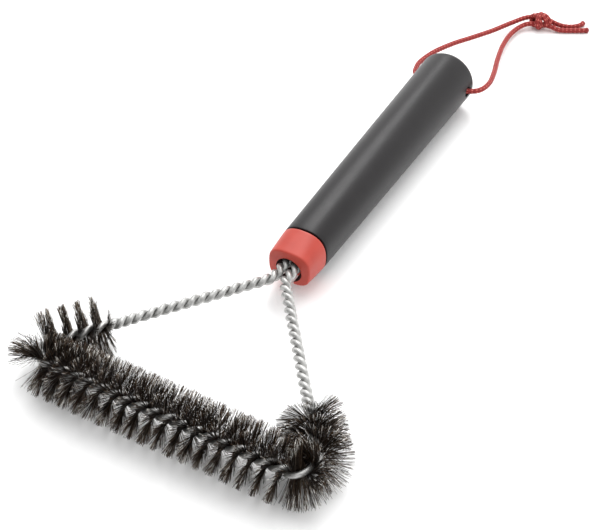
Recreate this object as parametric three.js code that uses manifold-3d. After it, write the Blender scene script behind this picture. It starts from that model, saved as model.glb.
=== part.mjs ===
// Grill cleaning brush: a three-sided head of twisted wire with bristles, a red collar,
// a black grip and a red hanging cord.
// Millimetres, +Z up. The grip runs along +Y, the bristled bar lies along X, and the brush
// stands on z = 0, on its bristles and the rear of its grip.
import * as THREE from 'three';
import { mergeVertices } from 'three/addons/utils/BufferGeometryUtils.js';
import Module from 'manifold-3d';

const wasm = await Module();
wasm.setup();

// ---- driving dimensions -------------------------------------------------------------
const GAP = 0.3;                       // clearance between neighbouring pieces

const BRISTLE_RADIUS = 16;             // filament tip to wire centre, and the grip's largest radius
const TOTAL_LENGTH = 305;
const GRIP_END_Y = TOTAL_LENGTH - BRISTLE_RADIUS;

// wire frame: a triangle bent from two strands twisted together
const STRAND_RADIUS = 1.3;
const TWIST_RADIUS = 1.5;              // strand centre to the centre of the twisted pair
const BRISTLED_PITCH = 14.1;           // one full turn where the pair grips bristles
const CORNER_PITCH = 23.3;             // the twist runs slower round the two corners
const TIGHT_PITCH = 8.4;               // the twist is tighter just past the last bristles
const TIGHT_LENGTH = 13;
const BARE_PITCH = 10.3;
const BAR_MIDDLE_TURN = -0.06;         // turns of the twist at the bar's middle
const BAR_VERTEX_X = 78.5;             // where the bar's line meets an arm's line
const ARM_VERTEX_Y = 98.2;             // where an arm's line meets its leg
const LEG_X = 2.95;                    // each leg's offset from the centre plane
const LEG_END_Y = 147.5;
const CORNER_BEND = 8;
const MOUTH_BEND = 8;
const BRISTLED_LEFT_Y = 33.3;          // the bristles stop here on the left arm
const BRISTLED_RIGHT_Y = 31.6;         // and a little sooner on the right arm
const STRAND_SIDES = 6;
const STEPS_PER_TURN = 8;
const FAR = 200;                       // half the size of the blocks that cut the bristles

// collar
const COLLAR_FACE_Y = 107.4;
const COLLAR_REAR_Y = 122.5;
const COLLAR_FACE_RADIUS = 11.3;
const COLLAR_FACE_HEIGHT = 0.86;       // height over width at the front face
const JOINT_RADIUS = 12.3;
const JOINT_GAP = 1;                   // shadow gap between the collar and the grip
const SPIGOT_RADIUS = 9.8;
const SPIGOT_LENGTH = 12;
const MOUTH_RADIUS = 7;                // a round mouth, below the middle of the face
const MOUTH_CENTRE_Z = -1.3;
const MOUTH_SLOT_HALF = 2.7;           // a slot opens the mouth to the underside
const MOUTH_DEPTH = 8;

// crimp ferrule round the two legs
const FERRULE_Y = [115.7, 127];
const FERRULE_INNER = 3.0;
const FERRULE_OUTER = 4.1;

// grip and its core
const GRIP_START_Y = COLLAR_REAR_Y + JOINT_GAP;
const GRIP_BORE_RADIUS = 9;
const GRIP_BORE_END_Y = 268;
const CORE_LENGTH = 38;
const CORE_SOCKET_DEPTH = 14;
const HANG_HOLE_RADIUS = 2.8;
const GRIP_END_FILLET = 3.2;
const HANG_HOLE_FROM_END = 8.5;
const HANG_HOLE_FLARE = 1.2;           // the mouth opens out so that it doesn't fray the cord
const HANG_HOLE_FLARE_DEPTH = 1.6;

// hanging cord
const CORD_RADIUS = 1.5;
const CORD_SIDES = 8;
const CORD_STEP = 6;

const HOLE_Y = GRIP_END_Y - HANG_HOLE_FROM_END;
const BORE_RADIUS = TWIST_RADIUS + STRAND_RADIUS + 0.5;   // the bristles' bore round the pair

// The cord's two branches leave the cross hole, run back side by side and meet in one knot.
// Points are relative to the middle of the cross hole; the resting surface is 16 below it.
const KNOT_CENTRE = [18.6, 102.5, -11.3];
const KNOT_HALF = [6, 5, 4.6];         // along the cord, across it, and in height
const KNOT_DIRECTION = [0.853, 0.522]; // in plan, from the branches towards the tails
const THROUGH_HOLE = [[-9, 0, 0], [0, 0, 0], [9, 0, 0]];
const LEFT_BRANCH = [
  [-13, 0.1, 0], [-16, 0.9, 0], [-18.2, 3, 0], [-19.3, 6.3, -0.2], [-20.6, 13, -0.9],
  [-19.2, 27.6, -2.4], [-14.5, 45.3, -5], [-8.1, 60.8, -7.3], [-1.6, 76.5, -9.4],
  [4.3, 91.7, -10.7], [10.6, 102.2, -10.8],
];
const RIGHT_BRANCH = [
  [13, 0.1, 0], [16.6, 1, 0], [19.5, 3.4, -0.2], [21.3, 7.3, -0.7], [21.7, 16, -2.2],
  [18.6, 30.6, -5], [13.5, 48, -8.2], [8.8, 68.5, -11.2], [7.7, 83.6, -12.5],
  [9.4, 92.6, -12.6], [12.5, 97, -12],
];
const LEFT_TAIL = [
  [23.8, 106.5, -11.9], [27.7, 107, -13], [31.9, 108.7, -14.2], [35.3, 110.4, -14.4],
  [38.3, 112.9, -14.4], [40, 115.8, -14.4], [40.7, 118.8, -14.3],
];
const RIGHT_TAIL = [
  [25.9, 102.4, -12.9], [29.6, 103, -14], [33.8, 105, -14.4], [38.6, 107.7, -14.4],
  [43.2, 110.3, -14.4], [46.2, 112.4, -14.4],
];

// ---- finishes -----------------------------------------------------------------------
const finish = (color, roughness, metalness) =>
  new THREE.MeshStandardMaterial({ color, roughness, metalness });
const BLACK_PLASTIC = finish(0x3a393c, 0.55, 0);
const CORE_PLASTIC = finish(0x8a8a86, 0.6, 0);
const RED_PLASTIC = finish(0xd2473f, 0.45, 0);
const GALVANISED_WIRE = finish(0xb9bcba, 0.35, 1);
const FERRULE_STEEL = finish(0xa4a7aa, 0.3, 1);
const BRISTLE_STEEL = finish(0x3a312b, 0.5, 0.6);
const RED_CORD = finish(0xd14a45, 0.85, 0);

// ---- solids: closed meshes, joined and cut --------------------------------------------
function signedVolume(geometry) {
  const p = geometry.attributes.position;
  const index = geometry.index.array;
  const [a, b, c] = [new THREE.Vector3(), new THREE.Vector3(), new THREE.Vector3()];
  let sum = 0;
  for (let i = 0; i < index.length; i += 3) {
    a.fromBufferAttribute(p, index[i]);
    b.fromBufferAttribute(p, index[i + 1]);
    c.fromBufferAttribute(p, index[i + 2]);
    sum += a.dot(b.cross(c));
  }
  return sum / 6;
}

function closed(geometry) {
  const bare = geometry.clone();
  bare.deleteAttribute('normal');
  bare.deleteAttribute('uv');
  const merged = mergeVertices(bare, 1e-4);
  const kept = [];
  const index = merged.index.array;
  for (let i = 0; i < index.length; i += 3) {
    const [a, b, c] = [index[i], index[i + 1], index[i + 2]];
    if (a !== b && b !== c && c !== a) kept.push(a, b, c);
  }
  merged.setIndex(kept);
  if (signedVolume(merged) < 0) {
    for (let i = 0; i < kept.length; i += 3) [kept[i], kept[i + 1]] = [kept[i + 1], kept[i]];
    merged.setIndex(kept);
  }
  return merged;
}

function toSolid(geometry) {
  const g = closed(geometry);
  return new wasm.Manifold(new wasm.Mesh({
    numProp: 3,
    vertProperties: new Float32Array(g.attributes.position.array),
    triVerts: new Uint32Array(g.index.array),
  }));
}

function toGeometry(solid) {
  const mesh = solid.getMesh();
  const geometry = new THREE.BufferGeometry();
  geometry.setAttribute('position', new THREE.BufferAttribute(mesh.vertProperties, 3));
  geometry.setIndex(new THREE.BufferAttribute(mesh.triVerts, 1));
  return geometry;
}

function cut(body, ...tools) {
  let solid = toSolid(body);
  for (const tool of tools) solid = solid.subtract(toSolid(tool));
  return toGeometry(solid);
}

function box(low, high) {
  const size = high.map((h, i) => h - low[i]);
  const middle = high.map((h, i) => (h + low[i]) / 2);
  return new THREE.BoxGeometry(...size).translate(...middle);
}

function cylinderAlongY(radius, y0, y1, sides = 32) {
  return new THREE.CylinderGeometry(radius, radius, y1 - y0, sides).translate(0, (y0 + y1) / 2, 0);
}

// A slot with round ends, `centreX` either side of the middle, extruded along Y.
function racetrackAlongY(centreX, halfHeight, y0, y1) {
  const shape = new THREE.Shape();
  shape.absarc(centreX, 0, halfHeight, -Math.PI / 2, Math.PI / 2, false);
  shape.absarc(-centreX, 0, halfHeight, Math.PI / 2, Math.PI * 1.5, false);
  const geometry = new THREE.ExtrudeGeometry(shape, {
    depth: y1 - y0, bevelEnabled: false, curveSegments: 8,
  });
  return geometry.rotateX(-Math.PI / 2).translate(0, y0, 0);
}

function tube(points, radius, sides, steps) {
  const section = new THREE.Shape();
  for (let i = 0; i < sides; i += 1) {
    const a = (i / sides) * Math.PI * 2;
    if (i === 0) section.moveTo(radius * Math.cos(a), radius * Math.sin(a));
    else section.lineTo(radius * Math.cos(a), radius * Math.sin(a));
  }
  section.closePath();
  return new THREE.ExtrudeGeometry(section, { steps, extrudePath: points, bevelEnabled: false });
}

// ---- the grip's and the collar's soft-cornered section --------------------------------
// A turned profile whose round section is pushed out to a superellipse of the given exponent.
function softSquare(profile, exponentAt, heightAt = () => 1, segments = 48) {
  const geometry = new THREE.LatheGeometry(profile, segments);
  const p = geometry.attributes.position;
  for (let i = 0; i < p.count; i += 1) {
    const [x, y, z] = [p.getX(i), p.getY(i), p.getZ(i)];
    const r = Math.hypot(x, z);
    if (r < 1e-6) continue;
    const n = exponentAt(y);
    const stretch = (Math.abs(x / r) ** n + Math.abs(z / r) ** n) ** (-1 / n);
    p.setXYZ(i, x * stretch, y, z * stretch * heightAt(y));
  }
  return geometry;
}

const mix = (a, b, t) => a + (b - a) * Math.min(Math.max(t, 0), 1);
const at = (r, y) => new THREE.Vector2(r, y);

function rimArc(radius, y, fillet, steps, rising) {
  const points = [];
  for (let i = 0; i <= steps; i += 1) {
    const a = (i / steps) * Math.PI / 2;
    const turn = rising ? a : Math.PI / 2 - a;
    const away = rising ? y - fillet + fillet * Math.sin(turn) : y + fillet - fillet * Math.sin(turn);
    points.push(at(radius - fillet + fillet * Math.cos(turn), away));
  }
  return points;
}

function gripBody() {
  const jointChamfer = 0.5;
  const profile = [
    at(0, GRIP_START_Y),
    ...rimArc(JOINT_RADIUS, GRIP_START_Y, jointChamfer, 2, false),
    ...rimArc(BRISTLE_RADIUS, GRIP_END_Y, GRIP_END_FILLET, 5, true),
    at(0, GRIP_END_Y),
  ];
  const length = GRIP_END_Y - GRIP_START_Y;
  const exponent = (y) => mix(2.5, 2, (y - GRIP_START_Y) / (0.8 * length));
  const socketEnd = COLLAR_REAR_Y + SPIGOT_LENGTH + GAP;
  const through = 3 * BRISTLE_RADIUS;
  const hangHole = new THREE.CylinderGeometry(HANG_HOLE_RADIUS, HANG_HOLE_RADIUS, through, 20)
    .rotateZ(Math.PI / 2).translate(0, HOLE_Y, 0);
  const flareOuterX = BRISTLE_RADIUS + GAP;
  const flares = [-1, 1].map((side) => new THREE.CylinderGeometry(
    HANG_HOLE_RADIUS, HANG_HOLE_RADIUS + HANG_HOLE_FLARE, HANG_HOLE_FLARE_DEPTH, 20,
  ).rotateZ(side * Math.PI / 2)
    .translate(side * (flareOuterX - HANG_HOLE_FLARE_DEPTH / 2), HOLE_Y, 0));
  return cut(
    softSquare(profile, exponent),
    cylinderAlongY(SPIGOT_RADIUS + GAP, GRIP_START_Y - 1, socketEnd),
    cylinderAlongY(GRIP_BORE_RADIUS, socketEnd - 1, GRIP_BORE_END_Y),
    hangHole,
    ...flares,
  );
}

function coreBody() {
  const start = COLLAR_REAR_Y + SPIGOT_LENGTH + 2 * GAP;
  return cut(
    cylinderAlongY(GRIP_BORE_RADIUS - GAP, start, start + CORE_LENGTH),
    racetrackAlongY(LEG_X, FERRULE_INNER, start - 1, start + CORE_SOCKET_DEPTH),
  );
}

function collarBody() {
  const faceFillet = 1.2;
  const profile = [
    at(0, COLLAR_FACE_Y),
    ...rimArc(COLLAR_FACE_RADIUS, COLLAR_FACE_Y, faceFillet, 3, false),
    at(JOINT_RADIUS, COLLAR_REAR_Y),
    at(0, COLLAR_REAR_Y),
  ];
  const along = (y) => (y - COLLAR_FACE_Y) / (COLLAR_REAR_Y - COLLAR_FACE_Y);
  const shell = softSquare(
    profile,
    (y) => mix(3, 2.5, along(y)),
    (y) => mix(COLLAR_FACE_HEIGHT, 1, along(y)),
  );
  const spigot = cylinderAlongY(SPIGOT_RADIUS, COLLAR_REAR_Y - 1, COLLAR_REAR_Y + SPIGOT_LENGTH);
  const pocket = FERRULE_OUTER + GAP;
  const end = COLLAR_REAR_Y + SPIGOT_LENGTH + 1;
  const mouthEnd = COLLAR_FACE_Y + MOUTH_DEPTH;
  const mouth = cylinderAlongY(MOUTH_RADIUS, COLLAR_FACE_Y - 1, mouthEnd)
    .translate(0, 0, MOUTH_CENTRE_Z);
  const slot = box(
    [-MOUTH_SLOT_HALF, COLLAR_FACE_Y - 1, -BRISTLE_RADIUS],
    [MOUTH_SLOT_HALF, mouthEnd, MOUTH_CENTRE_Z],
  );
  const solid = toSolid(shell)
    .add(toSolid(spigot))
    .subtract(toSolid(mouth))
    .subtract(toSolid(slot))
    .subtract(toSolid(racetrackAlongY(LEG_X, pocket, mouthEnd - GAP, end)));
  return toGeometry(solid);
}

function ferruleBody() {
  const [y0, y1] = FERRULE_Y;
  return cut(
    racetrackAlongY(LEG_X, FERRULE_OUTER, y0, y1),
    racetrackAlongY(LEG_X, FERRULE_INNER, y0 - 1, y1 + 1),
  );
}

// ---- the wire's centre line: a flat path with round corners ---------------------------
class RoundedPath {
  // corners: plan points; radii: the bend radius at each inner corner
  constructor(corners, radii) {
    this.pieces = [];
    let from = corners[0].clone();
    for (let i = 1; i < corners.length - 1; i += 1) {
      const into = corners[i].clone().sub(corners[i - 1]).normalize();
      const out = corners[i + 1].clone().sub(corners[i]).normalize();
      const turn = Math.atan2(into.x * out.y - into.y * out.x, into.dot(out));
      const radius = radii[i - 1];
      const back = radius * Math.tan(Math.abs(turn) / 2);
      const start = corners[i].clone().addScaledVector(into, -back);
      this.addLine(from, start);
      this.addArc(start, into, turn, radius);
      from = corners[i].clone().addScaledVector(out, back);
    }
    this.addLine(from, corners[corners.length - 1]);
    this.length = this.pieces.reduce((sum, piece) => sum + piece.length, 0);
  }

  addLine(a, b) {
    const direction = b.clone().sub(a);
    const length = direction.length();
    direction.normalize();
    this.pieces.push({
      length,
      point: (s) => a.clone().addScaledVector(direction, s),
      tangent: () => direction,
    });
  }

  addArc(start, into, turn, radius) {
    const side = Math.sign(turn);
    const centre = start.clone().add(new THREE.Vector2(-into.y, into.x).multiplyScalar(side * radius));
    const spoke = start.clone().sub(centre);
    this.pieces.push({
      length: Math.abs(turn) * radius,
      point: (s) => spoke.clone().rotateAround(new THREE.Vector2(), side * s / radius).add(centre),
      tangent: (s) => into.clone().rotateAround(new THREE.Vector2(), side * s / radius),
    });
  }

  at(s) {
    let left = Math.min(Math.max(s, 0), this.length);
    for (const piece of this.pieces) {
      if (left <= piece.length || piece === this.pieces[this.pieces.length - 1]) {
        return { point: piece.point(left), tangent: piece.tangent(left) };
      }
      left -= piece.length;
    }
    return null;
  }
}

const armAngle = Math.atan2(BAR_VERTEX_X - LEG_X, ARM_VERTEX_Y);   // from the centre plane
const wirePath = new RoundedPath(
  [
    new THREE.Vector2(-LEG_X, LEG_END_Y),
    new THREE.Vector2(-LEG_X, ARM_VERTEX_Y),
    new THREE.Vector2(-BAR_VERTEX_X, 0),
    new THREE.Vector2(BAR_VERTEX_X, 0),
    new THREE.Vector2(LEG_X, ARM_VERTEX_Y),
    new THREE.Vector2(LEG_X, LEG_END_Y),
  ],
  [MOUTH_BEND, CORNER_BEND, CORNER_BEND, MOUTH_BEND],
);

const cornerTurn = Math.PI / 2 + armAngle;                          // how far the wire turns
const cornerBack = CORNER_BEND * Math.tan(cornerTurn / 2);          // vertex to tangent point
const cornerCentreX = BAR_VERTEX_X - cornerBack;
const cornerEnd = cornerCentreX + CORNER_BEND * cornerTurn;         // along the wire, from the bar's middle

function armBristleLength(side) {
  const stop = side < 0 ? BRISTLED_LEFT_Y : BRISTLED_RIGHT_Y;
  return stop / Math.cos(armAngle) - cornerBack;
}

// The twist's angle at a place s along the wire from the bar's middle, left-handed.
function twistAngle(s) {
  const bristledEnd = cornerEnd + armBristleLength(s);
  const stretches = [
    [cornerCentreX, BRISTLED_PITCH],
    [cornerEnd, CORNER_PITCH],
    [bristledEnd, BRISTLED_PITCH],
    [bristledEnd + TIGHT_LENGTH, TIGHT_PITCH],
    [Infinity, BARE_PITCH],
  ];
  let turns = 0;
  let from = 0;
  for (const [to, pitch] of stretches) {
    turns += Math.max(Math.min(Math.abs(s), to) - from, 0) / pitch;
    from = to;
  }
  return (BAR_MIDDLE_TURN - Math.sign(s) * turns) * Math.PI * 2;
}

class StrandCurve extends THREE.Curve {
  constructor(phase, steps) {
    super();
    this.phase = phase;
    this.arcLengthDivisions = steps * 4;
  }

  getPoint(t, target = new THREE.Vector3()) {
    const s = t * wirePath.length;
    const { point, tangent } = wirePath.at(s);
    const angle = twistAngle(s - wirePath.length / 2) + this.phase;
    const across = TWIST_RADIUS * Math.cos(angle);
    return target.set(
      point.x - tangent.y * across,
      point.y + tangent.x * across,
      TWIST_RADIUS * Math.sin(angle),
    );
  }
}

function strandBody(phase) {
  const turns = (twistAngle(-wirePath.length / 2) - twistAngle(wirePath.length / 2)) / Math.PI / 2;
  const steps = Math.round(turns * STEPS_PER_TURN);
  return tube(new StrandCurve(phase, steps), STRAND_RADIUS, STRAND_SIDES, steps);
}

// ---- bristle sleeves: solids of the outer shape that the filaments fill ----------------
// A sleeve stops at the plane that halves the corner, where the next side's bristles start.
function sleeveAlongX(x0, x1) {
  const turned = (radius, sides) => new THREE.CylinderGeometry(radius, radius, 1, sides)
    .rotateZ(Math.PI / 2);
  const outer = turned(BRISTLE_RADIUS, 32).scale(x1 - x0, 1, 1).translate((x0 + x1) / 2, 0, 0);
  const bore = turned(BORE_RADIUS, 12).scale(x1 - x0 + 2, 1, 1).translate((x0 + x1) / 2, 0, 0);
  return toSolid(outer).subtract(toSolid(bore));
}

// The inner side of a corner is shared by two sleeves; this block takes the far half away.
function beyondBisector(side) {
  const half = (Math.PI / 2 - armAngle) / 2;
  const block = box([-FAR, -GAP / 2, -FAR], [FAR, FAR, FAR]);
  return block.rotateZ(-side * half).translate(side * BAR_VERTEX_X, 0, 0);
}

function barBristles() {
  const reach = cornerCentreX - GAP / 2;
  let solid = sleeveAlongX(-reach, reach);
  for (const side of [-1, 1]) solid = solid.subtract(toSolid(beyondBisector(side)));
  return toGeometry(solid);
}

// The arm's sleeve is made along X from the corner's vertex, swung up to the arm, and cut
// by the same plane from the other side.
function armBristles(side) {
  const end = cornerBack + armBristleLength(side);
  const sleeve = toGeometry(sleeveAlongX(cornerBack + GAP / 2, end));
  const swung = sleeve.rotateZ(side > 0 ? Math.PI / 2 + armAngle : Math.PI / 2 - armAngle)
    .translate(side * BAR_VERTEX_X, 0, 0);
  const half = (Math.PI / 2 - armAngle) / 2;
  const below = box([-FAR, -FAR, -FAR], [FAR, GAP / 2, FAR])
    .rotateZ(-side * half).translate(side * BAR_VERTEX_X, 0, 0);
  return toGeometry(toSolid(swung).subtract(toSolid(below)));
}

// Round a corner the bristles fan out: a turned solid about the bend's centre, cut to the
// wedge between the bar's end and the arm's end.
function cornerBristles(side) {
  const outline = [];
  const steps = 20;
  const closing = Math.acos(CORNER_BEND / BRISTLE_RADIUS);
  for (let i = 0; i <= steps; i += 1) {
    const a = mix(-1, 1, i / steps) * (Math.PI - closing);
    const r = Math.max(CORNER_BEND + BRISTLE_RADIUS * Math.cos(a), 0);
    outline.push(at(r, BRISTLE_RADIUS * Math.sin(a)));
  }
  outline[0].x = 0;
  outline[steps].x = 0;
  const bore = [];
  const boreSides = 12;
  for (let i = 0; i <= boreSides; i += 1) {
    const a = (i / boreSides) * Math.PI * 2;
    bore.push(at(CORNER_BEND + BORE_RADIUS * Math.cos(a), BORE_RADIUS * Math.sin(a)));
  }
  const ring = toSolid(new THREE.LatheGeometry(outline, 36).rotateX(Math.PI / 2))
    .subtract(toSolid(new THREE.LatheGeometry(bore, 36).rotateX(Math.PI / 2)));
  const pastBar = box([-FAR, -FAR, -FAR], [GAP / 2, FAR, FAR]);
  const armPlane = box([-FAR, -GAP / 2, -FAR], [FAR, FAR, FAR]).rotateZ(armAngle);
  const wedge = ring.subtract(toSolid(pastBar)).subtract(toSolid(armPlane));
  const geometry = toGeometry(wedge);
  if (side < 0) geometry.scale(-1, 1, 1);
  return closed(geometry.translate(side * cornerCentreX, CORNER_BEND, 0));
}

// ---- hanging cord ---------------------------------------------------------------------
function cordTube(points) {
  const curve = new THREE.CatmullRomCurve3(points.map((p) => new THREE.Vector3(...p)));
  const steps = Math.max(4, Math.round(curve.getLength() / CORD_STEP));
  return tube(curve, CORD_RADIUS, CORD_SIDES, steps);
}

function knotBody() {
  return new THREE.SphereGeometry(1, 16, 10)
    .scale(KNOT_HALF[0], KNOT_HALF[1], KNOT_HALF[2])
    .rotateZ(Math.atan2(KNOT_DIRECTION[1], KNOT_DIRECTION[0]));
}

// ---- the assembly -----------------------------------------------------------------------
function part(name, geometry, material) {
  const mesh = new THREE.Mesh(closed(geometry), material);
  mesh.name = name;
  return mesh;
}

const head = new THREE.Group();
head.add(part('wire_strand_a', strandBody(0), GALVANISED_WIRE));
head.add(part('wire_strand_b', strandBody(Math.PI), GALVANISED_WIRE));
head.add(part('bristles_bar', barBristles(), BRISTLE_STEEL));
for (const [name, side] of [['left', -1], ['right', 1]]) {
  head.add(part(`bristles_corner_${name}`, cornerBristles(side), BRISTLE_STEEL));
  head.add(part(`bristles_arm_${name}`, armBristles(side), BRISTLE_STEEL));
}

const handle = new THREE.Group();
handle.add(part('collar', collarBody(), RED_PLASTIC));
handle.add(part('wire_ferrule', ferruleBody(), FERRULE_STEEL));
handle.add(part('grip', gripBody(), BLACK_PLASTIC));
handle.add(part('grip_core', coreBody(), CORE_PLASTIC));

const cord = new THREE.Group();
cord.position.set(0, HOLE_Y, 0);
const loopPoints = [...LEFT_BRANCH].reverse().concat(THROUGH_HOLE, RIGHT_BRANCH);
cord.add(part('cord_loop', cordTube(loopPoints), RED_CORD));
cord.add(part('cord_tail_left', cordTube(LEFT_TAIL), RED_CORD));
cord.add(part('cord_tail_right', cordTube(RIGHT_TAIL), RED_CORD));
const knot = part('cord_knot', knotBody(), RED_CORD);
knot.position.set(...KNOT_CENTRE);
cord.add(knot);

// The bar's wire and the grip's axis are level; the whole brush stands on z = 0 and is
// centred on its length.
const brush = new THREE.Group();
brush.add(head, handle, cord);
brush.position.set(0, BRISTLE_RADIUS - TOTAL_LENGTH / 2, BRISTLE_RADIUS);

const group = new THREE.Group();
group.add(brush);

export default group;
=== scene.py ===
"""Grill cleaning brush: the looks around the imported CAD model.

Shapes are worked out in millimetres in the brush's own frame, where the bar's wire lies along
X at y = 0 and z = 0 and the grip runs along +Y, and to_row() takes them to the row frame.
"""

import math

import bmesh
import bpy
import numpy as np
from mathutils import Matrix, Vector


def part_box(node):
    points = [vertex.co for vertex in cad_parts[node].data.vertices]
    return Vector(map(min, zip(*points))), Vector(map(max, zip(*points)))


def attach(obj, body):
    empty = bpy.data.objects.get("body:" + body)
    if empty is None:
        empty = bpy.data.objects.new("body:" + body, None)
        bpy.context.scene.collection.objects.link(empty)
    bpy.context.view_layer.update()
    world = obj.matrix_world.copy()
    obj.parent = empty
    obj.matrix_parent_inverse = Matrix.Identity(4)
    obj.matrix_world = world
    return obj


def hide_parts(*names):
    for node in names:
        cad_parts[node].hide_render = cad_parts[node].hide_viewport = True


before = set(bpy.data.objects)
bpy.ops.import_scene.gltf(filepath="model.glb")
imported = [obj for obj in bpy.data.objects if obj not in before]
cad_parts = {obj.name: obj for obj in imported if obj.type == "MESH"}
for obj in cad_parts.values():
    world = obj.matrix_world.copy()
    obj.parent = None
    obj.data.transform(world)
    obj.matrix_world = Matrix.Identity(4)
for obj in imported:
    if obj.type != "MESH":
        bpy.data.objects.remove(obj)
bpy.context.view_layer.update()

# ---- driving dimensions, in millimetres, as the CAD has them ------------------------------
MM = 0.001
BRISTLE_RADIUS = 16.0
GRIP_END_Y = 289.0
GRIP_END_FILLET = 3.2
STRAND_RADIUS = 1.42
TWIST_RADIUS = 1.4
BRISTLED_PITCH = 14.1
CORNER_PITCH = 23.3
TIGHT_PITCH = 8.4
TIGHT_LENGTH = 13.0
BARE_PITCH = 10.3
BAR_MIDDLE_TURN = -0.06
BAR_VERTEX_X = 78.5
ARM_VERTEX_Y = 98.2
LEG_X = 2.95
LEG_END_Y = 147.5
BEND_RADIUS = 8.0
BRISTLED_LEFT_Y = 33.3
BRISTLED_RIGHT_Y = 31.6
COLLAR_FACE_Y = 107.4
COLLAR_REAR_Y = 122.5
COLLAR_FACE_RADIUS = 11.3
COLLAR_FACE_HEIGHT = 0.86
JOINT_RADIUS = 12.3
JOINT_GAP = 1.0
SPIGOT_RADIUS = 9.8
SPIGOT_LENGTH = 12.0
MOUTH_RADIUS = 7.0
MOUTH_CENTRE_Z = -1.3
MOUTH_SLOT_HALF = 2.7
MOUTH_DEPTH = 8.0
FERRULE_OUTER = 4.1
GRIP_START_Y = COLLAR_REAR_Y + JOINT_GAP
GRIP_BORE_RADIUS = 9.0
GRIP_BORE_END_Y = 268.0
GAP = 0.3
HANG_HOLE_RADIUS = 2.8
HANG_HOLE_FLARE = 1.2
HANG_HOLE_FLARE_DEPTH = 1.6
HOLE_Y = 280.5
CORD_RADIUS = 1.5

grip_low, grip_high = (np.array(corner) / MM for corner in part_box("grip"))
ROW_ORIGIN = np.array([0.0, grip_high[1] - GRIP_END_Y, (grip_low[2] + grip_high[2]) / 2])
HOLE = np.array([0.0, HOLE_Y, 0.0])

# The cord's route, relative to the middle of the cross hole.
KNOT_CENTRE = np.array([18.6, 102.5, -11.3])
KNOT_DIRECTION = np.array([0.853, 0.522, 0.0])
LEFT_BRANCH = [
    (0, 0, 0), (-9, 0, 0), (-13, 0.1, 0), (-16, 0.9, 0), (-18.2, 3, 0), (-19.3, 6.3, -0.2),
    (-20.6, 13, -0.9), (-19.2, 27.6, -2.4), (-14.5, 45.3, -5), (-8.1, 60.8, -7.3),
    (-1.6, 76.5, -9.4), (4.3, 91.7, -10.7), (10.6, 102.2, -10.8), (17.5, 105.6, -10.8),
    (23.8, 106.5, -11.9), (27.7, 107, -13), (31.9, 108.7, -14.2), (35.3, 110.4, -14.4),
    (38.3, 112.9, -14.4), (40, 115.8, -14.4), (40.7, 118.8, -14.3),
]
RIGHT_BRANCH = [
    (0, 0, 0), (9, 0, 0), (13, 0.1, 0), (16.6, 1, 0), (19.5, 3.4, -0.2), (21.3, 7.3, -0.7),
    (21.7, 16, -2.2), (18.6, 30.6, -5), (13.5, 48, -8.2), (8.8, 68.5, -11.2), (7.7, 83.6, -12.5),
    (9.4, 92.6, -12.6), (12.5, 97, -12), (19, 100.8, -12.2),
    (25.9, 102.4, -12.9), (29.6, 103, -14), (33.8, 105, -14.4), (38.6, 107.7, -14.4),
    (43.2, 110.3, -14.4), (46.2, 112.4, -14.4),
]


def to_row(points):
    """Brush frame in millimetres to the row frame in metres."""
    return (np.asarray(points, float) + ROW_ORIGIN) * MM


# ---- camera -------------------------------------------------------------------------------
def make_camera():
    data = bpy.data.cameras.new("camera")
    data.lens = 83.7
    data.sensor_width = 36.0
    data.clip_start = 0.05
    data.clip_end = 20.0
    camera = bpy.data.objects.new("camera", data)
    bpy.context.scene.collection.objects.link(camera)
    azimuth, elevation = math.radians(29.4), math.radians(43.05)
    back = Vector((
        math.sin(azimuth) * math.cos(elevation),
        -math.cos(azimuth) * math.cos(elevation),
        math.sin(elevation),
    ))
    camera.location = to_row([244.6, -315.6, 458.5])
    camera.rotation_mode = "QUATERNION"
    camera.rotation_quaternion = (-back).to_track_quat("-Z", "Y")
    bpy.context.scene.camera = camera


# ---- mesh helpers ---------------------------------------------------------------------------
def mesh_object(name, points, faces, materials, face_materials=None):
    """A smooth-shaded mesh from brush-frame points in millimetres."""
    mesh = bpy.data.meshes.new(name)
    mesh.from_pydata(to_row(points).tolist(), [], [tuple(face) for face in faces])
    for material in materials:
        mesh.materials.append(material)
    mesh.polygons.foreach_set("use_smooth", [True] * len(mesh.polygons))
    if face_materials is not None:
        mesh.polygons.foreach_set("material_index", np.asarray(face_materials, dtype=np.int32))
    mesh.update()
    obj = bpy.data.objects.new(name, mesh)
    bpy.context.scene.collection.objects.link(obj)
    return obj


def place(obj, body, slot, *nodes):
    """The piece rides on a CAD body and stands for CAD nodes; slot is not used."""
    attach(obj, body)
    if nodes:
        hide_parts(*nodes)
    return obj


def sharpen(obj, degrees):
    """Edges whose faces meet at more than this angle are shaded sharp."""
    bpy.context.view_layer.objects.active = obj
    obj.select_set(True)
    bpy.ops.object.shade_smooth_by_angle(angle=math.radians(degrees))
    obj.select_set(False)


def unit(vectors):
    return vectors / np.linalg.norm(vectors, axis=-1, keepdims=True)


def carried_frames(path):
    """Two directions across a path at each point, carried along it without twisting."""
    tangents = unit(np.gradient(path, axis=0))
    across = np.empty_like(path)
    seed = np.array([0.0, 0.0, 1.0])
    if abs(tangents[0] @ seed) > 0.9:
        seed = np.array([0.0, 1.0, 0.0])
    for i, tangent in enumerate(tangents):
        seed = seed - tangent * (seed @ tangent)
        seed = seed / np.linalg.norm(seed)
        across[i] = seed
    return tangents, across, np.cross(tangents, across)


def ring_faces(rings, sides):
    """Quads between neighbouring rings, and a fan at each end."""
    i, j = np.meshgrid(np.arange(rings - 1), np.arange(sides), indexing="ij")
    i, j = i.ravel(), j.ravel()
    k = (j + 1) % sides
    quads = np.stack([i * sides + j, i * sides + k, (i + 1) * sides + k, (i + 1) * sides + j], 1)
    first = list(range(sides))[::-1]
    last = [(rings - 1) * sides + j for j in range(sides)]
    return quads.tolist() + [first, last]


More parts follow.
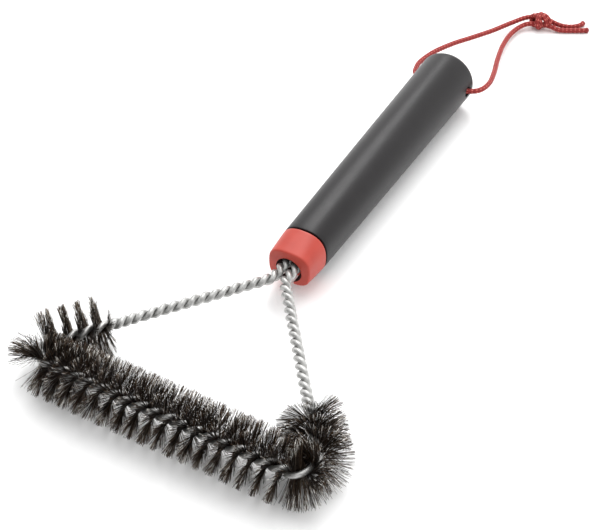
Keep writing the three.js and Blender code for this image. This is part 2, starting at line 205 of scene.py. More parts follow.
def tube(path, radius_at, sides):
    """Points and faces of a tube along a path; radius_at gives ring by side radii."""
    _, across, up = carried_frames(path)
    turn = np.arange(sides) / sides * 2 * np.pi
    radius = np.broadcast_to(radius_at, (len(path), sides))
    spokes = (
        across[:, None, :] * np.cos(turn)[None, :, None]
        + up[:, None, :] * np.sin(turn)[None, :, None]
    )
    points = path[:, None, :] + spokes * radius[:, :, None]
    return points.reshape(-1, 3), ring_faces(len(path), sides)


def smooth_route(points, step):
    """A Catmull-Rom curve through the points, sampled evenly every `step` millimetres."""
    p = np.asarray(points, float)
    p = np.vstack([2 * p[0] - p[1], p, 2 * p[-1] - p[-2]])
    t = np.linspace(0, 1, 40, endpoint=False)[:, None]
    pieces = []
    for a, b, c, d in zip(p[:-3], p[1:-2], p[2:-1], p[3:]):
        knots = np.cumsum([0] + [np.linalg.norm(v) ** 0.5 for v in (b - a, c - b, d - c)])
        s = knots[1] + (knots[2] - knots[1]) * t
        ab = (knots[1] - s) / (knots[1] - knots[0]) * a + (s - knots[0]) / (knots[1] - knots[0]) * b
        bc = (knots[2] - s) / (knots[2] - knots[1]) * b + (s - knots[1]) / (knots[2] - knots[1]) * c
        cd = (knots[3] - s) / (knots[3] - knots[2]) * c + (s - knots[2]) / (knots[3] - knots[2]) * d
        left = (knots[2] - s) / (knots[2] - knots[0]) * ab + (s - knots[0]) / (knots[2] - knots[0]) * bc
        right = (knots[3] - s) / (knots[3] - knots[1]) * bc + (s - knots[1]) / (knots[3] - knots[1]) * cd
        pieces.append((knots[2] - s) / (knots[2] - knots[1]) * left
                      + (s - knots[1]) / (knots[2] - knots[1]) * right)
    line = np.vstack(pieces + [p[-2][None]])
    along = np.concatenate([[0], np.cumsum(np.linalg.norm(np.diff(line, axis=0), axis=1))])
    even = np.linspace(0, along[-1], int(round(along[-1] / step)) + 1)
    return np.stack([np.interp(even, along, line[:, i]) for i in range(3)], 1), along[-1]


# ---- material helpers -----------------------------------------------------------------------
class Nodes:
    """A new node material with one Principled shader and a few shorthands."""

    def __init__(self, name, **sockets):
        self.material = bpy.data.materials.new(name)
        self.material.use_nodes = True
        self.tree = self.material.node_tree
        self.shader = self.tree.nodes["Principled BSDF"]
        for socket, value in sockets.items():
            self.shader.inputs[socket.replace("_", " ")].default_value = value

    def add(self, kind, **settings):
        node = self.tree.nodes.new(kind)
        for key, value in settings.items():
            setattr(node, key, value)
        return node

    def link(self, output, target):
        self.tree.links.new(output, target)

    def position(self, scale=(1, 1, 1)):
        mapping = self.add("ShaderNodeMapping")
        mapping.inputs["Scale"].default_value = scale
        self.link(self.add("ShaderNodeTexCoord").outputs["Object"], mapping.inputs["Vector"])
        return mapping.outputs["Vector"]

    def noise(self, vector, scale, detail=3.0, roughness=0.5):
        node = self.add("ShaderNodeTexNoise")
        node.inputs["Scale"].default_value = scale
        node.inputs["Detail"].default_value = detail
        node.inputs["Roughness"].default_value = roughness
        self.link(vector, node.inputs["Vector"])
        return node.outputs["Fac"]

    def ramp(self, value, stops):
        node = self.add("ShaderNodeValToRGB")
        elements = node.color_ramp.elements
        while len(elements) < len(stops):
            elements.new(0.5)
        for element, (place_, colour) in zip(elements, stops):
            element.position = place_
            element.color = (*colour, 1)
        self.link(value, node.inputs["Fac"])
        return node.outputs["Color"]

    def spread(self, value, low, high):
        """value from 0 to 1 taken to low to high."""
        node = self.add("ShaderNodeMapRange")
        node.inputs["To Min"].default_value = low
        node.inputs["To Max"].default_value = high
        self.link(value, node.inputs["Value"])
        return node.outputs["Result"]

    def bump(self, height, distance, strength=1.0, normal=None):
        node = self.add("ShaderNodeBump")
        node.inputs["Distance"].default_value = distance
        node.inputs["Strength"].default_value = strength
        self.link(height, node.inputs["Height"])
        if normal is not None:
            self.link(normal, node.inputs["Normal"])
        return node.outputs["Normal"]

    def colour(self, output):
        self.link(output, self.shader.inputs["Base Color"])

    def roughness(self, output):
        self.link(output, self.shader.inputs["Roughness"])

    def normal(self, output):
        self.link(output, self.shader.inputs["Normal"])


def grip_plastic():
    m = Nodes("grip_plastic", Roughness=0.40, Specular_IOR_Level=0.25)
    place_ = m.position()
    broad = m.noise(place_, 60, 2)
    fine = m.noise(place_, 1500, 3, 0.6)
    m.colour(m.ramp(broad, [(0.3, (0.0078, 0.0066, 0.0074)), (0.7, (0.0108, 0.0094, 0.0104))]))
    m.roughness(m.spread(broad, 0.33, 0.43))
    m.normal(m.bump(fine, 0.00008, 0.6))
    return m.material


def core_plastic():
    m = Nodes("core_plastic", Roughness=0.6)
    place_ = m.position()
    broad = m.noise(place_, 90, 2)
    m.colour(m.ramp(broad, [(0.3, (0.30, 0.30, 0.29)), (0.7, (0.38, 0.38, 0.37))]))
    m.normal(m.bump(m.noise(place_, 1500, 2), 0.00004, 0.5))
    return m.material


def collar_plastic():
    m = Nodes("collar_plastic", Roughness=0.42, Specular_IOR_Level=0.36)
    place_ = m.position()
    broad = m.noise(place_, 120, 2)
    fine = m.noise(place_, 2200, 3, 0.6)
    m.colour(m.ramp(broad, [(0.3, (0.395, 0.041, 0.026)), (0.7, (0.445, 0.052, 0.034))]))
    m.roughness(m.spread(broad, 0.36, 0.48))
    m.normal(m.bump(fine, 0.00004, 0.35))
    return m.material


def mouth_painted_shade():
    """The mouth's inside, unpolished and painted near black as the shade in the recess."""
    m = Nodes("collar_mouth_painted_shade", Roughness=0.8)
    broad = m.noise(m.position(), 400, 2)
    m.colour(m.ramp(broad, [(0.3, (0.020, 0.004, 0.004)), (0.7, (0.034, 0.007, 0.006))]))
    m.normal(m.bump(broad, 0.0001, 0.5))
    return m.material


def galvanised():
    m = Nodes("galvanised_wire", Metallic=0.85, Roughness=0.4)
    place_ = m.position()
    patches = m.noise(place_, 420, 4, 0.6)
    fine = m.noise(place_, 2400, 3, 0.6)
    m.colour(m.ramp(patches, [
        (0.28, (0.27, 0.27, 0.262)), (0.5, (0.44, 0.44, 0.43)), (0.72, (0.60, 0.60, 0.59)),
    ]))
    m.roughness(m.spread(fine, 0.3, 0.55))
    m.normal(m.bump(patches, 0.0001, 0.6, m.bump(fine, 0.00003, 0.5)))
    return m.material


def ferrule_steel():
    m = Nodes("ferrule_steel", Metallic=1.0, Roughness=0.32)
    place_ = m.position((1, 12, 1))
    brushed = m.noise(place_, 300, 4, 0.6)
    m.colour(m.ramp(brushed, [(0.3, (0.42, 0.43, 0.44)), (0.7, (0.60, 0.61, 0.62))]))
    m.roughness(m.spread(brushed, 0.25, 0.42))
    m.normal(m.bump(brushed, 0.00004, 0.4))
    return m.material


def filament_shades():
    """Bristle steel from sooty to bare: one shade to a filament, and bright bare steel at the cut tips,
    which is also a painted highlight for the glints the tips catch.
    """
    shades = [
        ("bristle_black", (0.013, 0.009, 0.006), 0.8, 0.42),
        ("bristle_dark", (0.033, 0.021, 0.013), 0.8, 0.38),
        ("bristle_brown", (0.082, 0.052, 0.033), 0.9, 0.34),
        ("bristle_grey", (0.20, 0.165, 0.13), 0.9, 0.28),
        # bright bare steel, set on the tips as a painted highlight for their glints
        ("bristle_bare_glint", (0.70, 0.68, 0.64), 1.0, 0.22),
    ]
    return [
        Nodes(name, Base_Color=(*colour, 1), Metallic=metal, Roughness=rough).material
        for name, colour, metal, rough in shades
    ]


def cord_yarn(name, dark, light):
    m = Nodes(name, Roughness=0.7, Sheen_Weight=0.08, Sheen_Roughness=0.5)
    m.shader.inputs["Sheen Tint"].default_value = (1.0, 0.6, 0.55, 1)
    place_ = m.position()
    fibres = m.noise(place_, 5200, 3, 0.65)
    m.colour(m.ramp(m.noise(place_, 1100, 3), [(0.3, dark), (0.7, light)]))
    m.normal(m.bump(fibres, 0.0001, 0.6))
    return m.material


def cord_painted_light():
    """A painted highlight for the crests of the braid, and the cord's red darkened as painted shade
    everywhere else on it.
    """
    return [
        cord_yarn("cord_red_painted_highlight", (0.52, 0.085, 0.065), (0.72, 0.20, 0.16)),
        cord_yarn("cord_red_painted_shade", (0.17, 0.003, 0.003), (0.29, 0.007, 0.006)),
    ]


def melted_red():
    m = Nodes("melted_cord_end", Roughness=0.3)
    lumps = m.noise(m.position(), 1600, 3)
    m.colour(m.ramp(lumps, [(0.3, (0.16, 0.01, 0.01)), (0.7, (0.34, 0.02, 0.018))]))
    m.normal(m.bump(lumps, 0.0003, 0.7))
    return m.material


# ---- hanging cord -----------------------------------------------------------------------------
BRAID_STRANDS = 6          # strands that wind each way
BRAID_LAY = 15.0           # one turn of a strand, mm along the cord
BRAID_RELIEF = 0.28
HIGHLIGHT_ABOVE = 0.8         # painted highlight only on the highest part of a strand
CORD_SIDES = 40
CORD_STEP = 0.32
MELTED_LENGTH = 1.9


def braided_radius(count, step, radius=CORD_RADIUS):
    """Radii of a braid, whose strands pass over and under each other, and which of its faces get
    the painted highlight: the crests of the strands that wind one way; all other faces get painted
    shade."""
    along = np.arange(count)[:, None] * step
    around = (np.arange(CORD_SIDES) / CORD_SIDES)[None, :]
    one = BRAID_STRANDS * (around + along / BRAID_LAY)
    other = BRAID_STRANDS * (around - along / BRAID_LAY)
    over = (np.floor(one) + np.floor(other)) % 2 == 0
    across = np.where(over, one, other) % 1.0
    down = np.where(over, other, one) % 1.0
    relief = np.sin(np.pi * across) ** 0.6 * (0.55 + 0.45 * np.sin(np.pi * down))
    # a painted highlight on the high crests of the strands on top; painted shade on every other face
    highlight_or_shade = np.where(over & (relief > HIGHLIGHT_ABOVE), 0, 1)[:-1].ravel()
    return radius - BRAID_RELIEF * (1 - relief), highlight_or_shade


def braided_cord(name, route, cord_highlight_and_shade, end_material):
    path, length = smooth_route(np.array(route) + HOLE, CORD_STEP)
    radii, highlight_or_shade = braided_radius(len(path), CORD_STEP)
    to_end = length - np.arange(len(path)) * CORD_STEP
    melted = np.clip(1 - to_end / MELTED_LENGTH, 0, 1)[:, None]
    swollen = CORD_RADIUS * (1.08 + 0.05 * np.sin(np.arange(CORD_SIDES) * 0.9)[None, :])
    rounding = np.sqrt(np.clip(1 - np.clip(melted - 0.35, 0, 1) ** 2 / 0.43, 0.02, 1))
    radii = np.where(melted > 0, swollen * rounding, radii)
    points, faces = tube(path, radii, CORD_SIDES)
    ring_of_face = np.repeat(np.arange(len(path) - 1), CORD_SIDES)
    # the braid's painted highlight and painted shade, and the melted end
    face_materials = np.where(to_end[ring_of_face] < MELTED_LENGTH, 2, highlight_or_shade).tolist() + [0, 2]
    obj = mesh_object(name, points, faces, cord_highlight_and_shade + [end_material], face_materials)
    return obj, path, length


KNOT_WRAP_RADII = (3.6, 3.5)      # of the wrap's centre line: across, and in height
KNOT_RISE = 0.4                   # the wraps' middle over the branches'
KNOT_WRAPS = (                    # offset along the cord, lean, first angle, turns, growth
    (-2.9, -1.6, -2.4, 1.2, 0.92),
    (-0.3, -2.3, -2.6, 1.1, 1.0),
    (2.3, -1.9, -2.7, 1.15, 0.95),
    (-0.3, 2.9, 0.4, 0.7, 1.16),
)
KNOT_ADVANCE = 2.6                # along the cord over a whole wrap
KNOT_TUCK = 0.16                  # the share of a wrap at each end that dives into the knot


def knot_wrap(offset, lean, start_angle, turns, growth):
    """One cord as it winds aslant round the two branches in the knot."""
    t = np.linspace(0, 1, 90)
    angle = start_angle + t * turns * 2 * np.pi
    tuck = np.minimum(np.minimum(t, 1 - t) / KNOT_TUCK, 1)
    size = growth * (0.35 + 0.65 * np.sin(tuck * np.pi / 2))
    along = KNOT_DIRECTION
    across = np.array([-along[1], along[0], 0.0])
    height = KNOT_WRAP_RADII[1] * size * np.sin(angle) + KNOT_RISE
    lowest = CORD_RADIUS - BRISTLE_RADIUS - KNOT_CENTRE[2]
    return (
        KNOT_CENTRE
        + along * (KNOT_ADVANCE * (t - 0.5) + offset + lean * np.cos(angle))[:, None]
        + across * (KNOT_WRAP_RADII[0] * size * np.cos(angle))[:, None]
        + np.array([0, 0, 1.0]) * np.maximum(height, lowest)[:, None]
    )


def make_knot(cord_highlight_and_shade):
    points, faces, highlight_or_shade_of_face = [], [], []
    for wrap in KNOT_WRAPS:
        path, _ = smooth_route((knot_wrap(*wrap) + HOLE)[::6], CORD_STEP)
        radii, highlight_or_shade = braided_radius(len(path), CORD_STEP, CORD_RADIUS * 0.97)
        tube_points, tube_faces = tube(path, radii, CORD_SIDES)
        start = sum(len(p) for p in points)
        points.append(tube_points)
        faces.extend([[i + start for i in face] for face in tube_faces])
        # the knot's wraps carry the same painted highlight and painted shade
        highlight_or_shade_of_face.extend(highlight_or_shade.tolist() + [0, 0])
    return mesh_object("overhand_knot", np.vstack(points), faces, cord_highlight_and_shade, highlight_or_shade_of_face)


def make_cords():
    cord_highlight_and_shade, melted = cord_painted_light(), melted_red()
    knot = place(make_knot(cord_highlight_and_shade), "hang_loop", "red_cord", "cord_knot")
    for name, route, side in (("cord_left", LEFT_BRANCH, -1), ("cord_right", RIGHT_BRANCH, 1)):
        obj, path, length = braided_cord(name, route, cord_highlight_and_shade, melted)
        tail = "cord_tail_left" if side < 0 else "cord_tail_right"
        place(obj, "hang_loop", "red_cord", "cord_loop", tail)


# ---- twisted wire -----------------------------------------------------------------------------
def rounded_path():
    """The wire's plan line as straight and round pieces: (length, point at s, tangent at s)."""
    corners = np.array([
        (-LEG_X, LEG_END_Y), (-LEG_X, ARM_VERTEX_Y), (-BAR_VERTEX_X, 0),
        (BAR_VERTEX_X, 0), (LEG_X, ARM_VERTEX_Y), (LEG_X, LEG_END_Y),
    ], float)
    pieces = []

    def line(a, b):
        way = (b - a) / np.linalg.norm(b - a)
        pieces.append((
            np.linalg.norm(b - a),
            lambda s: a + np.outer(s, way),
            lambda s: np.tile(way, (len(s), 1)),
        ))

    def arc(start, into, turn):
        side = math.copysign(1, turn)
        centre = start + side * BEND_RADIUS * np.array([-into[1], into[0]])
        first = math.atan2(start[1] - centre[1], start[0] - centre[0])
        heading = math.atan2(into[1], into[0])

        def around(angle):
            return np.stack([np.cos(angle), np.sin(angle)], 1)

        pieces.append((
            abs(turn) * BEND_RADIUS,
            lambda s: centre + BEND_RADIUS * around(first + side * s / BEND_RADIUS),
            lambda s: around(heading + side * s / BEND_RADIUS),
        ))

    start = corners[0]
    for before, corner, after in zip(corners[:-2], corners[1:-1], corners[2:]):
        into = (corner - before) / np.linalg.norm(corner - before)
        out = (after - corner) / np.linalg.norm(after - corner)
        turn = math.atan2(into[0] * out[1] - into[1] * out[0], into @ out)
        back = BEND_RADIUS * math.tan(abs(turn) / 2)
        line(start, corner - into * back)
        arc(corner - into * back, into, turn)
        start = corner + out * back
    line(start, corners[-1])
    return pieces


WIRE_PIECES = rounded_path()
WIRE_LENGTH = sum(piece[0] for piece in WIRE_PIECES)
ARM_ANGLE = math.atan2(BAR_VERTEX_X - LEG_X, ARM_VERTEX_Y)
CORNER_TURN = math.pi / 2 + ARM_ANGLE
CORNER_BACK = BEND_RADIUS * math.tan(CORNER_TURN / 2)
CORNER_START = BAR_VERTEX_X - CORNER_BACK              # along the wire from the bar's middle
CORNER_END = CORNER_START + BEND_RADIUS * CORNER_TURN
LEFT_END, RIGHT_END = (
    CORNER_END + stop / math.cos(ARM_ANGLE) - CORNER_BACK
    for stop in (BRISTLED_LEFT_Y, BRISTLED_RIGHT_Y)
)


def wire_at(s):
    """Points and directions on the wire's centre line, s millimetres from the bar's middle."""
    s = np.clip(np.asarray(s, float) + WIRE_LENGTH / 2, 0, WIRE_LENGTH)
    points, tangents = np.zeros((len(s), 3)), np.zeros((len(s), 3))
    start = 0.0
    for i, (length, point, tangent) in enumerate(WIRE_PIECES):
        last = i == len(WIRE_PIECES) - 1
        here = (s >= start) & ((s < start + length) | last)
        points[here, :2] = point(s[here] - start)
        tangents[here, :2] = tangent(s[here] - start)
        start += length
    return points, tangents


def twist_at(s):
    """The left-handed twist's angle, which runs slower where the wire grips bristles."""
    bristled_end = np.where(s < 0, LEFT_END, RIGHT_END)
    stretches = (
        (CORNER_START, BRISTLED_PITCH), (CORNER_END, CORNER_PITCH), (bristled_end, BRISTLED_PITCH),
        (bristled_end + TIGHT_LENGTH, TIGHT_PITCH), (WIRE_LENGTH, BARE_PITCH),
    )
    turns, start = np.zeros(len(s)), 0.0
    for end, pitch in stretches:
        turns += np.maximum(np.minimum(np.abs(s), end) - start, 0) / pitch
        start = end
    return (BAR_MIDDLE_TURN - np.sign(s) * turns) * 2 * np.pi


def across_wire(tangents, angle):
    """Unit directions across the wire at these angles from the flat side."""
    normal = np.stack([-tangents[:, 1], tangents[:, 0], np.zeros(len(tangents))], 1)
    return np.cos(angle)[:, None] * normal + np.sin(angle)[:, None] * np.array([0, 0, 1.0])


def make_wire():
    material = galvanised()
    s = np.arange(0, WIRE_LENGTH, 0.3) - WIRE_LENGTH / 2
    points, tangents = wire_at(s)
    for name, node, phase in (("wire_a", "wire_strand_a", 0), ("wire_b", "wire_strand_b", math.pi)):
        path = points + TWIST_RADIUS * across_wire(tangents, twist_at(s) + phase)
        tube_points, faces = tube(path, STRAND_RADIUS, 18)
        obj = mesh_object(name, tube_points, faces, [material])
        place(obj, "brush", "galvanised_wire", node)


# ---- bristles ---------------------------------------------------------------------------------
FILAMENTS_PER_MM = 31          # each passes through the pair and shows on both sides
FILAMENT_RADIUS = 0.09
ROOT_RADIUS = 0.7
NEAT, SPLAYED = 0.06, 0.42      # how far filaments stray round the wire, in radians
CLUMP_SPACING, CLUMP_LEAN = 0.4, 0.045
SWIRL_SPACING, SWIRL_ANGLE = 0.5, 0.05
LEAN_SPREAD = 0.035             # how far one filament leans along the wire, in radians
LONGEST, SHORTER_BY = 0.99, 0.062   # of the bristles' radius
CURL_ALONG, CURL_SIDEWAYS = 0.035, 0.03
FILAMENT_STATIONS = (0.0, 0.36, 0.7, 1.0)   # places along a filament, root to tip
SHADE_SHARES = (0.38, 0.33, 0.21, 0.08)     # black, dark, brown, grey
BARE_GLINT_SHADE = 4
GLINT_TIPS, GLINT_ENDS = 0.5, 0.14            # shares of filaments bare and bright at the cut tip, and at a worn end: a painted highlight for the tips' glints


def wavering(rng, s, spacing, size):
    """A smooth random lean along the wire, so that neighbouring filaments lie together."""
    knots = np.arange(s.min() - spacing, s.max() + 2 * spacing, spacing)
    return np.interp(s, knots, rng.normal(0, size, len(knots)))


def filament_lines(rng, s_low, s_high, angle_spread):
    """Four points along each filament's centre line, root to tip."""
    count = int((s_high - s_low) * FILAMENTS_PER_MM)
    s = np.sort(rng.uniform(s_low, s_high, count))
    s = np.concatenate([s, s])
    blade = np.repeat([math.pi / 2, -math.pi / 2], count)
    centres, tangents = wire_at(s)
    clump = np.concatenate([wavering(rng, s[:count], CLUMP_SPACING, CLUMP_LEAN) for _ in range(2)])
    swirl = np.concatenate([wavering(rng, s[:count], SWIRL_SPACING, SWIRL_ANGLE) for _ in range(2)])
    angle = twist_at(s) + blade + swirl + rng.normal(0, angle_spread, 2 * count)
    lean = clump + rng.normal(0, LEAN_SPREAD, 2 * count)
    out = across_wire(tangents, angle)
    side = np.cross(tangents, out)
    way = unit(out * np.cos(lean)[:, None] + tangents * np.sin(lean)[:, None])
    reach = BRISTLE_RADIUS * (LONGEST - np.abs(rng.normal(0, SHORTER_BY, 2 * count)))
    curl_along = rng.normal(0, CURL_ALONG, 2 * count)
    curl_side = rng.normal(0, CURL_SIDEWAYS, 2 * count)
    lines = []
    for t in FILAMENT_STATIONS:
        r = ROOT_RADIUS + (reach - ROOT_RADIUS) * t
        bend = (t * t * reach)[:, None]
        lines.append(
            centres + way * r[:, None]
            + tangents * curl_along[:, None] * bend + side * curl_side[:, None] * bend
        )
    lines = np.stack(lines, 1)
    away = lines - centres[:, None, :]
    far = np.linalg.norm(away, axis=2, keepdims=True)
    limit = BRISTLE_RADIUS - FILAMENT_RADIUS - 0.05
    lines = centres[:, None, :] + away * np.minimum(1, limit / np.maximum(far, 1e-6))
    return lines


def bristle_piece(name, node, s_low, s_high, shades, seed, angle_spread):
    rng = np.random.default_rng(seed)
    lines = filament_lines(rng, s_low, s_high, angle_spread)
    count, rings = lines.shape[:2]
    way = unit(lines[:, -1] - lines[:, 0])
    other = unit(np.cross(way, rng.normal(0, 1, (count, 3))))
    third = np.cross(way, other)
    thickness = FILAMENT_RADIUS * rng.uniform(0.8, 1.2, count)
    corners = np.arange(3) * 2 * np.pi / 3
    spokes = (
        other[:, None, :] * np.cos(corners)[None, :, None]
        + third[:, None, :] * np.sin(corners)[None, :, None]
    ) * thickness[:, None, None]
    points = (lines[:, :, None, :] + spokes[:, None, :, :]).reshape(-1, 3)
    one = np.array(ring_faces(rings, 3)[:-2])
    base = np.arange(count) * rings * 3
    quads = (one[None] + base[:, None, None]).reshape(-1, 4)
    cap = np.array([[(rings - 1) * 3 + i for i in range(3)]])
    caps = (cap[None] + base[:, None, None]).reshape(-1, 3)
    shade = rng.choice(len(SHADE_SHARES), count, p=SHADE_SHARES)
    # bright bare steel on the tip caps of some filaments and on the last piece of others: a painted
    # highlight for the glints at the tips
    tip_shade_or_glint = np.where(rng.random(count) < GLINT_TIPS, BARE_GLINT_SHADE, shade)
    per_face = np.repeat(shade[:, None], len(one), 1)
    end_shade_or_glint = np.where(rng.random(count) < GLINT_ENDS, BARE_GLINT_SHADE, shade)
    per_face[:, -3:] = end_shade_or_glint[:, None]
    materials = np.concatenate([per_face.ravel(), tip_shade_or_glint])
    obj = mesh_object(name, points, quads.tolist() + caps.tolist(), shades, materials)
    place(obj, "brush", "bristles", node)


def make_bristles():
    shades = filament_shades()
    bristle_piece("bar_filaments", "bristles_bar", -CORNER_START, CORNER_START, shades, 11, NEAT)
    for i, (name, side, arm_end) in enumerate((("left", -1, LEFT_END), ("right", 1, RIGHT_END))):
        spans = (("corner", CORNER_START, CORNER_END), ("arm", CORNER_END, arm_end))
        for j, (part, low, high) in enumerate(spans):
            low, high = sorted((side * low, side * high))
            bristle_piece(
                f"{part}_filaments_{name}", f"bristles_{part}_{name}", low, high, shades,
                20 + 2 * i + j, SPLAYED if part == "corner" else NEAT,
            )


# ---- collar and grip ----------------------------------------------------------------------------
SECTION_SIDES = 144
TIP = 0.02                 # a turned end closes on a ring this small


def turned(profile, exponents, heights):
    """A closed profile of (radius, y) turned round Y, its round section pushed out to a
    superellipse of each row's exponent and flattened to each row's height."""
    angle = np.arange(SECTION_SIDES) / SECTION_SIDES * 2 * np.pi
    cos, sin = np.cos(angle), np.sin(angle)
    rows = []
    for (radius, y), n, height in zip(profile, exponents, heights):
        stretch = (np.abs(cos) ** n + np.abs(sin) ** n) ** (-1 / n) if n != 2 else np.ones_like(cos)
        rows.append(np.stack([
            radius * stretch * cos, np.full_like(cos, y), radius * stretch * sin * height,
        ], 1))
    points = np.vstack(rows)
    faces = ring_faces(len(profile), SECTION_SIDES)
    return points, faces


def fillet(radius, y, size, steps, rising):
    """A quarter-round rim, from the end face to the side or from the side to the end face."""
    arc = []
    for i in range(steps + 1):
        a = i / steps * math.pi / 2
        turn = a if rising else math.pi / 2 - a
        away = y - size + size * math.sin(turn) if rising else y + size - size * math.sin(turn)
        arc.append((radius - size + size * math.cos(turn), away))
    return arc


def face_outwards(obj):
    """The faces of a closed mesh turned to look outwards, as a boolean needs."""
    shape = bmesh.new()
    shape.from_mesh(obj.data)
    bmesh.ops.recalc_face_normals(shape, faces=shape.faces)
    shape.to_mesh(obj.data)
    shape.free()


def carved(name, solids, material):
    """The first solid with all the others cut out of it by exact booleans."""
    base = mesh_object(name, *solids[0], [material])
    face_outwards(base)
    for i, (points, faces) in enumerate(solids[1:]):
        tool = mesh_object(f"{name}_tool_{i}", points, faces, [material])
        face_outwards(tool)
        modifier = base.modifiers.new("boolean", "BOOLEAN")
        modifier.operation = "DIFFERENCE"
        modifier.solver = "EXACT"
        modifier.object = tool
        bpy.context.view_layer.objects.active = base
        bpy.ops.object.modifier_apply(modifier=modifier.name)
        bpy.data.objects.remove(tool)
    return base


def blend_between(a, b, t):
    return a + (b - a) * min(max(t, 0.0), 1.0)


def rod_x(x0, x1, y, radius_at, sides=48):
    """A turned rod along X, for the cross hole and its flared mouths."""
    x = np.linspace(x0, x1, 61)
    angle = np.arange(sides) / sides * 2 * np.pi
    radius = np.array([radius_at(v) for v in x])
    points = np.stack([
        np.repeat(x, sides),
        y + np.outer(radius, np.cos(angle)).ravel(),
        np.outer(radius, np.sin(angle)).ravel(),
    ], 1)
    return points, ring_faces(len(x), sides)


def rod_y(y0, y1, x, z, radius, sides=64):
    """A plain rod along Y, to cut with."""
    angle = np.arange(sides) / sides * 2 * np.pi
    points = np.vstack([
        np.stack([x + radius * np.cos(angle), np.full(sides, y), z + radius * np.sin(angle)], 1)
        for y in (y0, y1)
    ])
    return points, ring_faces(2, sides)


def block(low, high):
    """A box between two corners, to cut with."""
    x, y, z = zip(low, high)
    points = np.array([(x[i], y[j], z[k]) for i in (0, 1) for j in (0, 1) for k in (0, 1)])
    faces = [(0, 1, 3, 2), (4, 6, 7, 5), (0, 4, 5, 1), (2, 3, 7, 6), (0, 2, 6, 4), (1, 5, 7, 3)]
    return points, faces


def make_grip():
    material = grip_plastic()
    rows = fillet(JOINT_RADIUS, GRIP_START_Y, 0.5, 4, False)
    rear = fillet(BRISTLE_RADIUS, GRIP_END_Y, GRIP_END_FILLET, 14, True)
    side = [
        (blend_between(rows[-1][0], rear[0][0], t), blend_between(rows[-1][1], rear[0][1], t))
        for t in np.linspace(0, 1, 60)[1:-1]
    ]
    profile = [(SPIGOT_RADIUS + GAP, GRIP_START_Y)] + rows + side + rear + [(TIP, GRIP_END_Y)]
    length = GRIP_END_Y - GRIP_START_Y
    exponents = [2] + [
        blend_between(2.5, 2, (y - GRIP_START_Y) / (0.8 * length)) for _, y in profile[1:-1]
    ] + [2]
    socket_end = COLLAR_REAR_Y + SPIGOT_LENGTH + GAP
    inner = [
        (TIP, GRIP_BORE_END_Y), (GRIP_BORE_RADIUS, GRIP_BORE_END_Y),
        (GRIP_BORE_RADIUS, socket_end), (SPIGOT_RADIUS + GAP, socket_end),
        (SPIGOT_RADIUS + GAP, GRIP_START_Y),
    ]
    whole = profile[1:] + inner
    kinds = exponents[1:] + [2] * len(inner)
    points, faces = turned(whole, kinds, [1] * len(whole))
    # the profile closes on itself: the last ring joins the first, and no end fans are needed
    faces = faces[:-2]
    sides = SECTION_SIDES
    last = (len(whole) - 1) * sides
    faces += [[last + j, last + (j + 1) % sides, (j + 1) % sides, j] for j in range(sides)]

    def flared(x):
        inside = BRISTLE_RADIUS + GAP - abs(x)
        opened = max(0.0, 1 - inside / HANG_HOLE_FLARE_DEPTH)
        return HANG_HOLE_RADIUS + HANG_HOLE_FLARE * opened ** 2

    reach = BRISTLE_RADIUS + 2
    grip = carved("grip_shell", [(points, faces), rod_x(-reach, reach, HOLE_Y, flared)], material)
    sharpen(grip, 40)
    place(grip, "brush", "black_plastic", "grip")


def make_collar():
    material = collar_plastic()
    face = fillet(COLLAR_FACE_RADIUS, COLLAR_FACE_Y, 1.0, 6, False)
    rear = fillet(JOINT_RADIUS, COLLAR_REAR_Y, 0.35, 3, True)
    side = [
        (blend_between(face[-1][0], rear[0][0], t), blend_between(face[-1][1], rear[0][1], t))
        for t in np.linspace(0, 1, 16)[1:-1]
    ]
    spigot_end = COLLAR_REAR_Y + SPIGOT_LENGTH
    rows = [(TIP, COLLAR_FACE_Y)] + face + side + rear + [
        (SPIGOT_RADIUS, COLLAR_REAR_Y), (SPIGOT_RADIUS, spigot_end), (TIP, spigot_end),
    ]
    span = COLLAR_REAR_Y - COLLAR_FACE_Y
    kinds = [blend_between(3.0, 2.5, (y - COLLAR_FACE_Y) / span) for _, y in rows[:-3]] + [2] * 3
    heights = [
        blend_between(COLLAR_FACE_HEIGHT, 1, (y - COLLAR_FACE_Y) / span) for _, y in rows[:-3]
    ] + [1] * 3
    points, faces = turned(rows, kinds, heights)
    before_face = COLLAR_FACE_Y - 2
    mouth_end = COLLAR_FACE_Y + MOUTH_DEPTH
    pocket = FERRULE_OUTER + GAP
    pocket_start, pocket_end = mouth_end - GAP, spigot_end + 1
    collar = carved("collar_shell", [
        (points, faces),
        rod_y(before_face, mouth_end, 0, MOUTH_CENTRE_Z, MOUTH_RADIUS),
        block((-MOUTH_SLOT_HALF, before_face, -BRISTLE_RADIUS),
              (MOUTH_SLOT_HALF, mouth_end, MOUTH_CENTRE_Z)),
        rod_y(pocket_start, pocket_end, -LEG_X, 0, pocket),
        rod_y(pocket_start, pocket_end, LEG_X, 0, pocket),
        block((-LEG_X, pocket_start, -pocket), (LEG_X, pocket_end, pocket)),
    ], material)
    sharpen(collar, 35)
    # the faces inside the mouth get the near-black painted shade of the recess
    collar.data.materials.append(mouth_painted_shade())
    low, high = (to_row((0, y, 0))[1] for y in (COLLAR_FACE_Y + 0.3, mouth_end + GAP))
    centre = to_row((0, 0, MOUTH_CENTRE_Z))
    for face in collar.data.polygons:
        x, y, z = face.center
        if low < y < high and math.hypot(x, z - centre[2]) < (MOUTH_RADIUS + 0.05) * MM:
            face.material_index = 1
    place(collar, "brush", "red_plastic", "collar")


# ---- hidden CAD pieces, the floor and the light ---------------------------------------------------
def finish_carried_nodes():
    for node, material in (("wire_ferrule", ferrule_steel()), ("grip_core", core_plastic())):
        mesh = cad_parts[node].data
        mesh.materials.clear()
        mesh.materials.append(material)


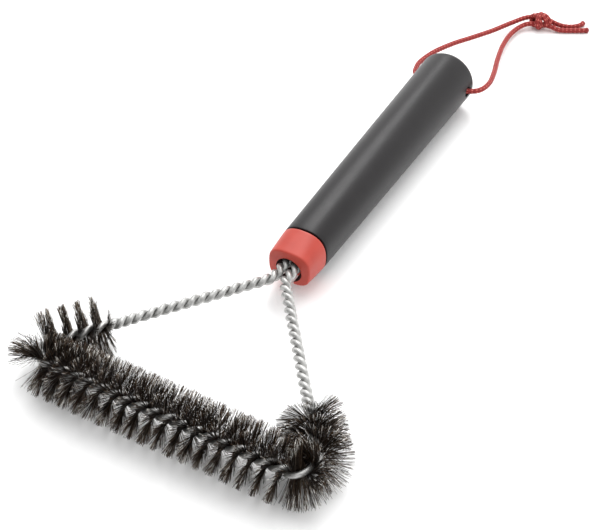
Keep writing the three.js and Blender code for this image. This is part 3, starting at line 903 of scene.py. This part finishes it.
def make_stage():
    material = Nodes("floor", Roughness=0.9)
    tint = material.noise(material.position(), 3.0, 2)
    material.colour(material.ramp(tint, [(0.3, (0.94, 0.94, 0.94)), (0.7, (0.96, 0.96, 0.96))]))
    mesh = bpy.data.meshes.new("floor")
    reach = 3.0
    corners = [(-reach, -reach, 0), (reach, -reach, 0), (reach, reach, 0), (-reach, reach, 0)]
    mesh.from_pydata(corners, [], [(0, 1, 2, 3)])
    mesh.materials.append(material.material)
    floor = bpy.data.objects.new("floor", mesh)
    bpy.context.scene.collection.objects.link(floor)


def add_light(name, place_, aim, size, power):
    data = bpy.data.lights.new(name, "AREA")
    data.shape = "RECTANGLE"
    data.size, data.size_y = size
    data.energy = power
    light = bpy.data.objects.new(name, data)
    bpy.context.scene.collection.objects.link(light)
    light.location = place_
    light.rotation_mode = "QUATERNION"
    light.rotation_quaternion = (Vector(aim) - Vector(place_)).to_track_quat("-Z", "Y")


def make_light():
    bpy.context.scene.view_settings.view_transform = "Standard"
    world = bpy.data.worlds.new("studio")
    bpy.context.scene.world = world
    world.use_nodes = True
    nodes, links = world.node_tree.nodes, world.node_tree.links
    background = nodes["Background"]
    background.inputs["Color"].default_value = (1, 1, 1, 1)
    # the surroundings are brighter behind the brush than in front of it
    direction = nodes.new("ShaderNodeTexCoord")
    axes = nodes.new("ShaderNodeSeparateXYZ")
    shade = nodes.new("ShaderNodeMapRange")
    for socket, value in (("From Min", -1.0), ("To Min", 0.6), ("To Max", 1.8)):
        shade.inputs[socket].default_value = value
    links.new(direction.outputs["Generated"], axes.inputs["Vector"])
    links.new(axes.outputs["Y"], shade.inputs["Value"])
    links.new(shade.outputs["Result"], background.inputs["Strength"])
    middle = (0, 0, 0.02)
    add_light("rear_softbox", (-0.42, 0.95, 1.15), middle, (0.3, 0.62), 7)
    add_light("overhead", (-0.1, 0.35, 1.9), middle, (1.3, 1.3), 12)


make_camera()
make_cords()
make_wire()
make_bristles()
make_collar()
make_grip()
finish_carried_nodes()
make_stage()
make_light()
